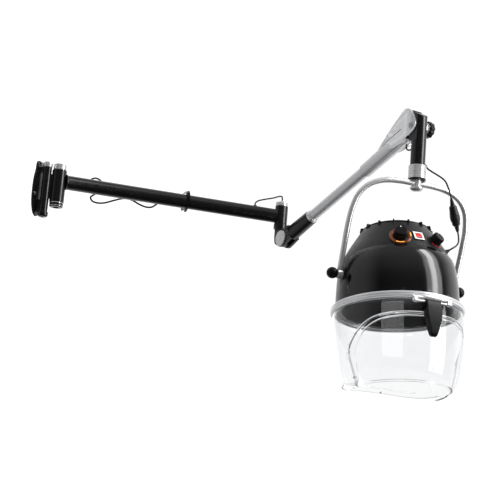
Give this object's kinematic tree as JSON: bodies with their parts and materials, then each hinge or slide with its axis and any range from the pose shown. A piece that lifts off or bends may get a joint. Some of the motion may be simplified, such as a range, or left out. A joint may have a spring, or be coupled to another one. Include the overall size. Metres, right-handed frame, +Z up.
{
  "type": "hood hair dryer",
  "caption": "Wall-mounted hood hair dryer: jointed swing arm, levelled hanging column, chrome yoke, tilting black hood with controls, and a clear skirt with a hinged visor.",
  "frame": {"origin": "middle of the wall plate's back face, level with the axis of the first arm", "axes": "+X out of the wall, +Y to the left of someone who stands with their back to the wall, +Z up"},
  "size_m": [1.2723, 0.5491, 0.8123],
  "materials": {
    "black_paint": "gloss black powder coat",
    "gloss_black": "high gloss",
    "dark_plastic": "satin moulded",
    "chrome": "polished",
    "silver": "silver lacquer",
    "steel": "satin",
    "clear_plastic": "clear",
    "cord_rubber": "matt",
    "amber": "translucent amber",
    "red": "gloss",
    "white": "satin"
  },
  "bodies": {
    "wall_bracket": {"wall_plate": "black_paint", "wall_screw_top": "steel", "wall_screw_left": "steel", "wall_screw_right": "steel", "swivel_pin": "chrome", "swivel_nut": "chrome"},
    "inner_arm": {"arm_root_casting": "black_paint", "root_barrel_cap": "chrome", "root_barrel_ring": "chrome", "inner_arm_tube": "black_paint", "elbow_barrel": "black_paint", "elbow_cap": "chrome", "elbow_lead": "cord_rubber", "mains_gland": "cord_rubber", "mains_lead": "cord_rubber", "mains_hank": "cord_rubber", "hank_tie": "dark_plastic", "mains_lead_tail": "cord_rubber", "mains_plug": "cord_rubber"},
    "elbow": {"elbow_knuckle": "black_paint"},
    "outer_arm": {"arm_socket": "black_paint", "elbow_pivot_pin": "chrome", "elbow_pivot_nut": "black_paint", "socket_collar": "chrome", "outer_arm_tube": "silver", "arm_head_cover": "silver", "head_bolt": "steel"},
    "levelling_link": {"link_rod": "steel"},
    "column": {"column_head": "black_paint", "column_tube": "black_paint", "column_collar": "chrome", "column_lead": "cord_rubber"},
    "head_clamp": {"head_clamp_knob": "dark_plastic"},
    "yoke": {"yoke_stub": "chrome", "swivel_washer": "dark_plastic", "yoke_bow": "chrome", "lead_connector": "cord_rubber", "jumper_lead_upper": "cord_rubber", "jumper_lead_lower": "cord_rubber"},
    "hood": {"hood_shell": "gloss_black", "trim_ring": "silver", "vent_cap": "dark_plastic", "inner_bowl": "dark_plastic", "visor_skirt": "clear_plastic", "visor_hinge": "chrome", "blower_motor": "steel", "heating_element": "steel", "timer_glow_ring": "amber", "rocker_bezel": "white", "hood_lead_gland": "cord_rubber"},
    "left_clamp": {"left_ball_knob": "dark_plastic"},
    "right_clamp": {"right_ball_knob": "dark_plastic"},
    "visor": {"visor_door": "clear_plastic", "visor_handle": "dark_plastic"},
    "timer": {"timer_knob": "dark_plastic"},
    "thermostat": {"thermostat_knob": "dark_plastic"},
    "power_switch": {"power_rocker": "red"},
    "fan": {"fan_impeller": "white"}
  },
  "joints": [
    {"name": "wall_swivel", "type": "hinge", "parent": "wall_bracket", "child": "inner_arm", "pos_m": [0.028, 0, 0], "axis": [0, 0, 1], "range_deg": [-111, 29]},
    {"name": "elbow_swivel", "type": "hinge", "parent": "inner_arm", "child": "elbow", "pos_m": [0.59932, 0.49664, 0], "axis": [0, 0, 1], "range_deg": [-44, 180]},
    {"name": "arm_pitch", "type": "hinge", "parent": "elbow", "child": "outer_arm", "pos_m": [0.62717, 0.47713, -0.078], "axis": [-0.5736, -0.8192, 0], "range_deg": [-26.5, 23.5]},
    {"name": "link_swing", "type": "hinge", "parent": "elbow", "child": "levelling_link", "pos_m": [0.62717, 0.47713, -0.066], "axis": [-0.5736, -0.8192, 0], "range_deg": [-26.5, 23.5]},
    {"name": "column_level", "type": "hinge", "parent": "outer_arm", "child": "column", "pos_m": [1.12638, 0.12758, 0.16206], "axis": [-0.5736, -0.8192, 0], "range_deg": [-23.5, 26.5], "deforming": ["column_lead"]},
    {"name": "head_clamp_turn", "type": "hinge", "parent": "outer_arm", "child": "head_clamp", "pos_m": [1.12638, 0.12758, 0.16206], "axis": [0.5736, 0.8192, 0], "range_deg": [-90, 0]},
    {"name": "yoke_swivel", "type": "hinge", "parent": "column", "child": "yoke", "pos_m": [1.13621, 0.1207, -0.00594], "axis": [0, 0, 1], "range_deg": [-150, 150], "deforming": ["jumper_lead_upper"]},
    {"name": "hood_tilt", "type": "hinge", "parent": "yoke", "child": "hood", "pos_m": [1.07914, 0.1798, -0.27466], "axis": [-0.7193, -0.6947, 0], "range_deg": [-25, 30], "deforming": ["jumper_lead_lower"]},
    {"name": "left_clamp_turn", "type": "hinge", "parent": "hood", "child": "left_clamp", "pos_m": [1.223, 0.31873, -0.27466], "axis": [0.7193, 0.6947, 0], "range_deg": [-60, 60]},
    {"name": "right_clamp_turn", "type": "hinge", "parent": "hood", "child": "right_clamp", "pos_m": [0.93527, 0.04087, -0.27466], "axis": [-0.7193, -0.6947, 0], "range_deg": [-60, 60]},
    {"name": "visor_lift", "type": "hinge", "parent": "hood", "child": "visor", "pos_m": [1.21812, 0.03588, -0.3546], "axis": [-0.7193, -0.6947, 0], "range_deg": [0, 100]},
    {"name": "timer_turn", "type": "hinge", "parent": "hood", "child": "timer", "pos_m": [1.11489, 0.06249, -0.16843], "axis": [0.2368, -0.7603, 0.6049], "range_deg": [-300, 0]},
    {"name": "thermostat_turn", "type": "hinge", "parent": "hood", "child": "thermostat", "pos_m": [1.19246, 0.12828, -0.17054], "axis": [0.7212, -0.3306, 0.6087], "range_deg": [-135, 135]},
    {"name": "rocker_press", "type": "hinge", "parent": "hood", "child": "power_switch", "pos_m": [1.15746, 0.09101, -0.16185], "axis": [0.7464, 0.6655, 0.0056], "range_deg": [0, 10]},
    {"name": "fan_spin", "type": "hinge", "parent": "hood", "child": "fan", "pos_m": [1.06879, 0.19051, -0.1687], "axis": [-0.0967, 0.1001, 0.9903], "continuous": true}
  ],
  "couplings": [
    {"joint": "link_swing", "follows": "arm_pitch", "ratio": 1},
    {"joint": "column_level", "follows": "arm_pitch", "ratio": -1}
  ]
}
